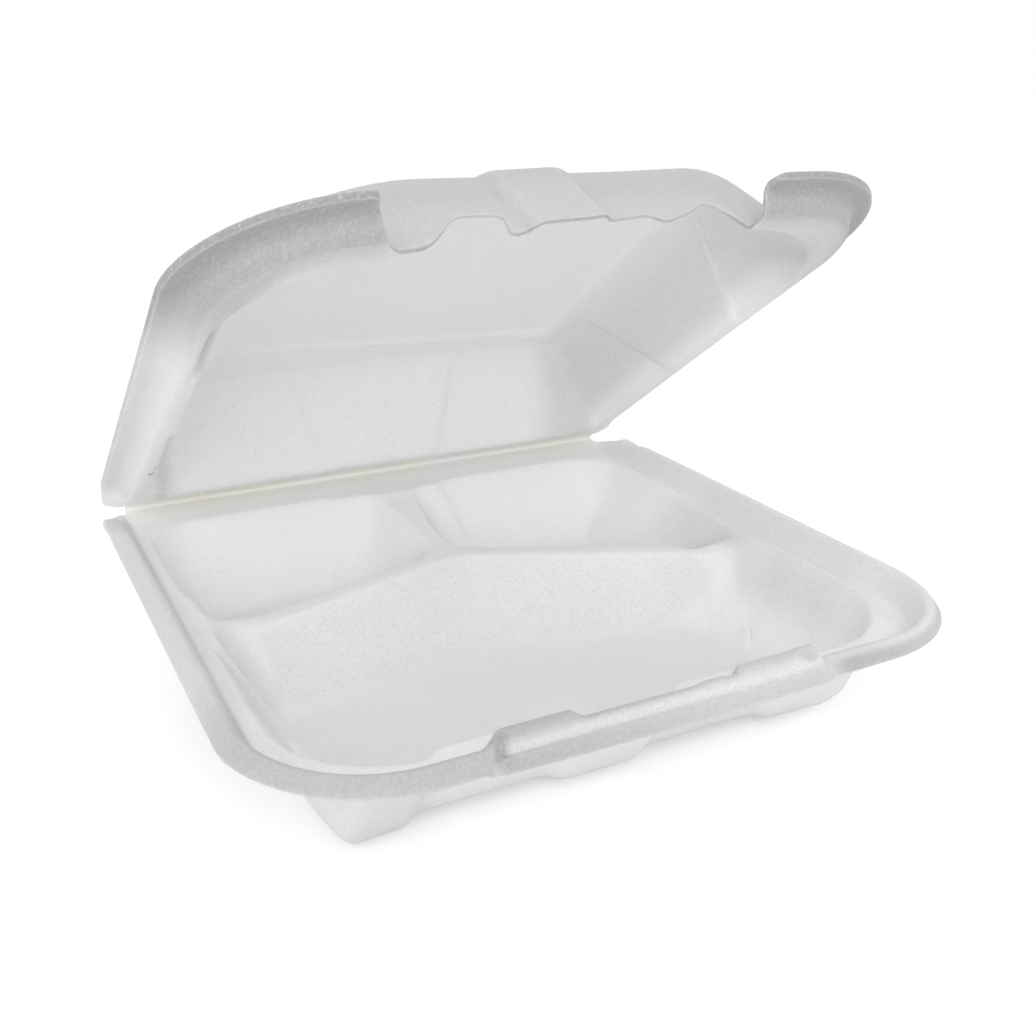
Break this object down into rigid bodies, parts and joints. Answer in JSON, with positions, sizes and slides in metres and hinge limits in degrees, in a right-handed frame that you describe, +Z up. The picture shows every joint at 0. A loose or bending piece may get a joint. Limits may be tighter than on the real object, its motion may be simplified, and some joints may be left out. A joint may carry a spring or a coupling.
{
  "type": "compartment foam container",
  "caption": "Hinged take-out container in white foam sheet: tray with three compartments, domed lid half open on its living hinge, and a front catch.",
  "frame": {"origin": "middle of the bounding box of the open container, at the level of its feet", "axes": "+X along the hinge, to the right seen from the front; +Y towards the hinge at the back; +Z up"},
  "size_m": [0.232, 0.2308, 0.1741],
  "materials": {
    "foam": "white expanded polystyrene sheet with a fine bead grain, satin where pressed"
  },
  "bodies": {
    "tray": {"base_tray": "foam"},
    "cover": {"lid": "foam"}
  },
  "joints": [
    {"name": "lid_hinge", "type": "hinge", "parent": "tray", "child": "cover", "pos_m": [0, 0.11359, 0.039], "axis": [-1, 0, 0], "range_deg": [-34.6, 145.4]}
  ]
}
